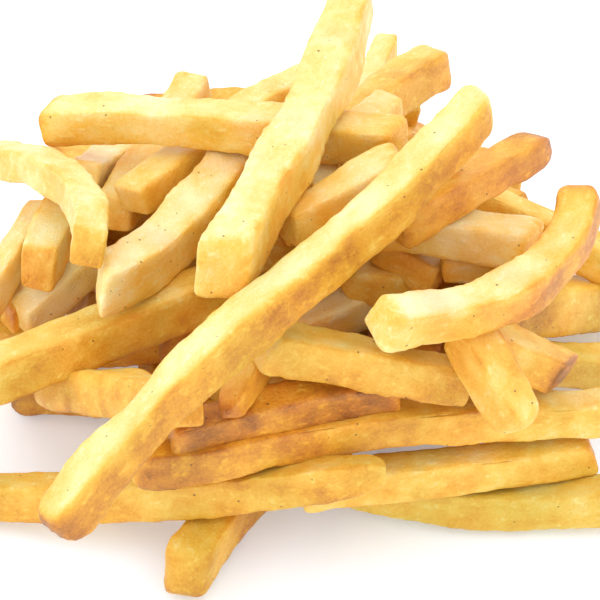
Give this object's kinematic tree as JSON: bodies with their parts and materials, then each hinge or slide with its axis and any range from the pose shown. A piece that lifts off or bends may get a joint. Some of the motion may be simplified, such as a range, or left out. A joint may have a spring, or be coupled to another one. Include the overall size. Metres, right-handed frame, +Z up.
{
  "type": "french fries portion",
  "caption": "Loose heap of straight-cut golden fries resting on its own flat base, with long fries laid across the top and loose ends at the rim.",
  "frame": {"origin": "middle of the heap's footprint box, on the floor", "axes": "+Z up, +Y from the front of the heap to its far side, +X to the right as seen from the front"},
  "size_m": [0.1401, 0.1502, 0.071],
  "materials": {
    "fried_potato": "pale golden fried potato with a slight oily sheen"
  },
  "bodies": {
    "root": {"fries_heap": "fried_potato"}
  },
  "joints": []
}
